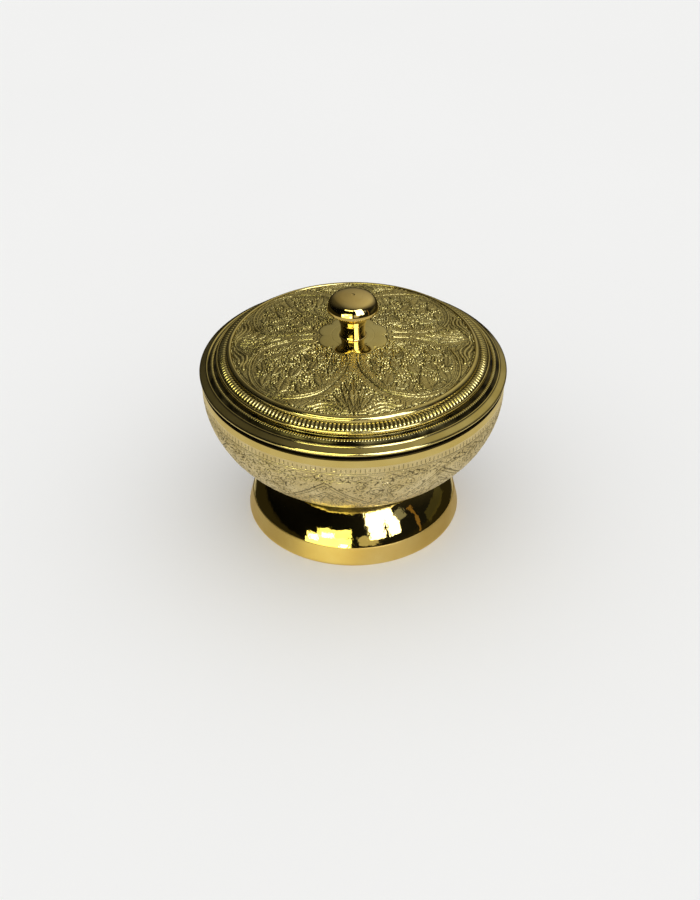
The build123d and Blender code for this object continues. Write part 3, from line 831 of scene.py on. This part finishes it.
def belly_ring(name, start, end, rows, steps, replaces=()):
    """One ring of the chased belly as a closed slab, from start to end along the side."""
    down = np.linspace(end, start, rows)
    turn = np.arange(steps) / steps * TAU
    u = np.repeat((turn - math.pi)[None, :] * BELLY_A, rows, 0)
    # The design starts at the front, a little round to the left.
    u = (u + math.radians(100.8) * BELLY_A + math.pi * BELLY_A) % (TAU * BELLY_A) - math.pi * BELLY_A
    height, cut = bowl_relief(u, np.repeat(down[:, None] - BAND_S, steps, 1))
    edge = ramp(down - start, 0.0, 0.4)[:, None] if start == BAND_S else 1.0
    height = height * edge
    r, z, nr, nz = belly_point(down)
    inner_r, inner_z, _, _ = belly_point(np.array([start, end]), SKIN)
    # Stay within the plain belly: chased metal is pushed in, and swellings stop at the surface.
    height = np.minimum(height - 0.06, 0.0)
    radius = np.vstack([r[:, None] + height * nr[:, None], np.repeat(inner_r[:, None], steps, 1)])
    level = np.vstack([z[:, None] + height * nz[:, None], np.repeat(inner_z[:, None], steps, 1)])
    darkness = np.vstack([cut, np.zeros((2, steps))])
    points = np.stack([radius * np.cos(turn), radius * np.sin(turn), level], -1)
    return put(name, points, BOWL_BRASS, "base", True, darkness, replaces, crease=70)


def make_bowl():
    """The bowl: four chased rings of belly over a plain turned body with its rim band, inside and floor."""
    end = BELLY_LENGTH[-1]
    belly_ring("bowl_belly_top", BAND_S, 9.5, 44, 1700, ["bowl"])
    belly_ring("bowl_belly_upper", 9.5, 22.0, 50, 1600)
    belly_ring("bowl_belly_lower", 22.0, 36.0, 54, 1400)
    belly_ring("bowl_belly_base", 36.0, end, 72, 900)
    wall, floor = 2.0, BOWL_BASE + 2.5
    rim_r = BELLY_A
    hidden = np.linspace(end, BAND_S, 40)
    hr, hz, _, _ = belly_point(hidden, SKIN + 0.05)
    inside = arc((0, BELLY_Z), (rim_r - wall, BELLY_B - wall), 0, -60.8, 60)
    profile = np.vstack(
        [
            corners((3.05, BOWL_BASE), (33.0, BOWL_BASE), (34.2, BOWL_BASE)),
            np.stack([hr, hz], -1),
            corners((rim_r - 0.02, BELLY_Z - BAND_S + 0.02)),
            line((rim_r, BELLY_Z - BAND_S + 0.1), (rim_r, RIM_Z - 0.7), 6),
            arc((rim_r - 0.7, RIM_Z - 0.7), 0.7, 0, 90, 8),
            corners((72.5, RIM_Z), (72.3, RIM_Z - 0.2), (72.3, 79.2), (73.3, 78.2)),
            inside,
            corners((30.0, floor), (3.05, floor)),
        ]
    )
    # The rim's rounding (8 rows) and its ledge (4) lie in the gap under the lid; the inside and floor follow.
    rounding, ledge, floor_rows = 8, 4, 2
    rim = len(profile) - len(inside) - floor_rows - ledge - rounding
    # The rim's rounding and ledge take the nearly black material: painted shade for the gap under the lid.
    zones = [(rim, GAP_SHADE_BRASS), (rim + rounding + ledge, BAND_BRASS)]
    put("bowl_body", lathe(profile, 420), BAND_BRASS, "base", True, None, (), zones, 28)


make_bowl()

# ---- foot


def make_foot():
    """A flared satin band under a mirror-polished dome, hollow below, dished on top to take the bowl."""
    band_top, dome_r, start = 9.4, 42.0, math.radians(20)
    centre = (52.6 - dome_r * math.cos(start), band_top - dome_r * math.sin(start))
    satin = np.vstack(
        [
            corners((51.6, 0.0), (FOOT_R - 0.6, 0.0)),
            arc((FOOT_R - 0.55, 0.55), 0.55, -80, -8, 6),
            line((FOOT_R, 0.65), (52.95, band_top - 0.15), 10),
            corners((52.92, band_top - 0.1), (52.8, band_top)),
        ]
    )
    dome = np.vstack(
        [
            arc(centre, dome_r, 20.2, 49.5, 60),
            corners((40.1, 26.95), (36.5, 26.0), (3.05, 26.0), (3.05, 24.0), (36.5, 24.0)),
            arc(centre, dome_r - 2.0, 45.5, 20, 30),
            corners((51.0, 7.0)),
        ]
    )
    zones = [(len(satin), MIRROR_BRASS)]
    points = lathe(np.vstack([satin, dome]), 420)
    put("foot_turned", points, SATIN_BRASS, "base", True, None, ["foot"], zones, 18)


make_foot()

# ---- cups, floor, spoon, fixings


def cup_profile():
    """A spun cup: flat foot, swelling side, rolled lip, and the same inside."""
    base, lip = CUP_BASE, CUP_TOP - 1.12
    swell = [(12.6, base + 0.4), (15.6, base + 4.4), (18.6, base + 11), (20.6, base + 19), (21.55, lip - 1.0)]
    side = flowing(swell, 0.8)
    hollow = [(20.75, lip - 1.0), (19.75, base + 19), (17.75, base + 11), (14.8, base + 4.9)]
    inside = flowing(hollow + [(11.8, base + 1.2)], 0.8)
    return np.vstack(
        [
            corners((0.4, base), (11.8, base), (12.3, base + 0.12)),
            side,
            arc((21.55, lip), 1.1, -88, 160, 18),
            corners((20.75, lip - 0.3)),
            inside,
            corners((11.0, base + 0.92), (0.4, base + 0.92)),
        ]
    )


def make_cups():
    """A spun cup in place of each CAD cup, at that cup's own middle."""
    for node in ["cup_centre", *[f"cup_{n}" for n in range(1, 7)]]:
        low, high = box_mm(node)
        centre = (low + high)[:2] / 2
        points = lathe(cup_profile(), 96, centre)
        put(f"{node}_spun", points, SPUN_BRASS, node, replaces=[node], crease=30)


make_cups()


def dress_cad(nodes, material):
    """Gives CAD nodes their finish."""
    for node in nodes:
        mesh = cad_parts[node].data
        mesh.materials.clear()
        mesh.materials.append(material)


dress_cad(["inner_floor", "spoon"], SPUN_BRASS)
dress_cad(["foot_bolt", "foot_washer", "foot_nut", "knob_screw", "knob_washer"], FIXING_BRASS)
dress_cad(["lid", "bowl"], BAND_BRASS)
dress_cad(["foot", "knob"], MIRROR_BRASS)
dress_cad(["cup_centre", *[f"cup_{n}" for n in range(1, 7)]], SPUN_BRASS)

# ---- floor, light, camera


def make_floor():
    """A wide plain floor in matt off-white paint."""
    mesh = bpy.data.meshes.new("floor")
    half = 4.0
    square = [(-half, -half, 0), (half, -half, 0), (half, half, 0), (-half, half, 0)]
    mesh.from_pydata(square, [], [(0, 1, 2, 3)])
    floor = bpy.data.objects.new("floor", mesh)
    floor.visible_glossy = False
    bpy.context.scene.collection.objects.link(floor)
    material, tree, shader = blank("pale_floor_paint")
    place = add(tree, "ShaderNodeTexCoord").outputs["Object"]
    mottle = add(tree, "ShaderNodeTexNoise", {"Vector": place, "Scale": 3.0, "Detail": 2.0}).outputs["Fac"]
    stops = [(0.0, "#F4F4F3"), (1.0, "#F8F8F7")]
    tone = add(tree, "ShaderNodeValToRGB", {"Fac": mottle}, stops=stops).outputs["Color"]
    tree.links.new(tone, shader.inputs["Base Color"])
    shader.inputs["Roughness"].default_value = 0.9
    shader.inputs["Specular IOR Level"].default_value = 0.1
    mesh.materials.append(material)


def make_panel(name, azimuth, elevation, width, height, radiance, tint, roll=0.0, distance=1.7):
    """A soft panel that only the metal reflects, placed by the middle of its face.

    Azimuth 0 is straight in front and positive to the right; elevation is up. Width and height are in degrees
    as the box sees them, and radiance sets the power.
    """
    wide, tall = (2 * distance * math.tan(math.radians(size / 2)) for size in (width, height))
    light = bpy.data.lights.new(name, "AREA")
    light.shape = "RECTANGLE"
    light.size, light.size_y = wide, tall
    light.energy = radiance * math.pi * wide * tall
    light.color = colour(tint)[:3]
    a, e = math.radians(azimuth), math.radians(elevation)
    panel = bpy.data.objects.new(name, light)
    place = Vector((math.sin(a) * math.cos(e), -math.cos(a) * math.cos(e), math.sin(e))) * distance
    panel.location = place
    turn = (-place).to_track_quat("-Z", "Y") @ Quaternion((0, 0, 1), math.radians(roll))
    panel.rotation_euler = turn.to_euler()
    panel.visible_camera = False
    panel.visible_diffuse = False
    bpy.context.scene.collection.objects.link(panel)


def make_world():
    """A dark studio in the reflections, and an even pale light for everything else.

    Reflections see, above, a dark front that grows to a soft ceiling behind; and below, a pale table top that
    ends near the horizon, sooner in front than at the sides.
    """
    world = bpy.data.worlds.new("studio")
    bpy.context.scene.world = world
    world.use_nodes = True
    tree = world.node_tree
    tree.nodes.clear()
    way = add(tree, "ShaderNodeSeparateXYZ", {"Vector": add(tree, "ShaderNodeTexCoord").outputs["Generated"]})
    y, z = way.outputs["Y"], way.outputs["Z"]
    upward = add(tree, "ShaderNodeMath", {0: z, 1: 0.8}, operation="MULTIPLY").outputs[0]
    high = add(tree, "ShaderNodeMath", {0: y, 1: 0.6, 2: upward}, operation="MULTIPLY_ADD").outputs[0]
    sky_stops = [(0.17, "#121212"), (0.36, "#24221E"), (0.6, "#6E6A5C"), (0.76, "#98937F"), (1.0, "#B4AD96")]
    sky = add(tree, "ShaderNodeValToRGB", {"Fac": high}, stops=sky_stops).outputs["Color"]
    side = {"Value": way.outputs["X"], "From Min": -0.5, "From Max": 0.5, "To Min": 0.22, "To Max": 1.5}
    side = add(tree, "ShaderNodeMapRange", side).outputs["Result"]
    sky = add(tree, "ShaderNodeVectorMath", {0: sky, 1: side}, operation="MULTIPLY").outputs[0]
    front = {"Value": y, "From Min": -0.95, "From Max": 0.9, "To Min": -0.12, "To Max": -0.42}
    brink = add(tree, "ShaderNodeMapRange", front).outputs["Result"]
    below = add(tree, "ShaderNodeMath", {0: brink, 1: z}, operation="SUBTRACT").outputs[0]
    table_stops = [(0.0, "#2A2618"), (0.06, "#D0C8AC"), (0.5, "#D6D2C4")]
    table = add(tree, "ShaderNodeValToRGB", {"Fac": below}, stops=table_stops).outputs["Color"]
    horizon = {"Value": z, "From Min": -0.06, "From Max": 0.0}
    level = add(tree, "ShaderNodeMapRange", horizon).outputs["Result"]
    both = {"Factor": level, "A_Color": table, "B_Color": sky}
    scene = add(tree, "ShaderNodeMix", both, data_type="RGBA").outputs[2]
    mirrored = add(tree, "ShaderNodeBackground", {"Color": scene})
    pale = add(tree, "ShaderNodeBackground", {"Color": colour("#FBFBFB")})
    seen = add(tree, "ShaderNodeLightPath").outputs["Is Glossy Ray"]
    mix = add(tree, "ShaderNodeMixShader", {0: seen, 1: pale.outputs[0], 2: mirrored.outputs[0]})
    add(tree, "ShaderNodeOutputWorld", {"Surface": mix.outputs[0]})


def make_camera():
    """56 mm lens on a 36 mm sensor, 36.8 degrees above level, 727 mm from the middle of the box."""
    pitch, lean = math.radians(36.84), math.radians(-0.35)
    distance, aim = 0.727, Vector((-0.00175, 0.0, 0.03142))
    data = bpy.data.cameras.new("camera")
    data.lens, data.sensor_width = 56.0, 36.0
    camera = bpy.data.objects.new("camera", data)
    back = Vector((0.0, -math.cos(pitch), math.sin(pitch)))
    camera.location = aim + back * distance
    look = (-back).to_track_quat("-Z", "Y") @ Quaternion((0, 0, 1), lean)
    camera.rotation_euler = look.to_euler()
    bpy.context.scene.collection.objects.link(camera)
    bpy.context.scene.camera = camera


make_floor()
make_panel("left_window", -26, 5, 46, 16, 2.8, "#FFFFB8", 3)
make_panel("left_window_upper", -21, 18, 34, 12, 2.4, "#FFFFB0", 10)
make_panel("left_glare", -42, 6, 9, 8, 7.0, "#FFFFD8", 8)
make_panel("left_glare_middle", -27, 14, 12, 5, 6.0, "#FFFFD8", 14)
make_panel("left_glare_near", -9, 3, 9, 5, 7.0, "#FFFFE4")
make_panel("left_high", -24, 54, 30, 10, 4.0, "#FFFFC8")
make_panel("right_window_near", 25, 28, 17, 38, 6.0, "#F4F8FF", -2)
make_panel("right_window_far", 43.5, 27, 13, 38, 5.0, "#F4F8FF", 2)
make_panel("right_high", 32, 55, 28, 10, 5.0, "#F8FAFF")
make_panel("right_card", 15.5, 9, 22, 14, 0.6, "#FFF6DC")
make_panel("grey_pane", 57, 29, 12, 14, 0.3, "#F0F2F4")
make_panel("side_card", 101, 2, 34, 14, 0.05, "#F0E8A0")
make_panel("side_post", 72, 12, 3, 34, 0.35, "#D8A860")
make_world()
make_camera()
bpy.context.scene.view_settings.view_transform = "Standard"
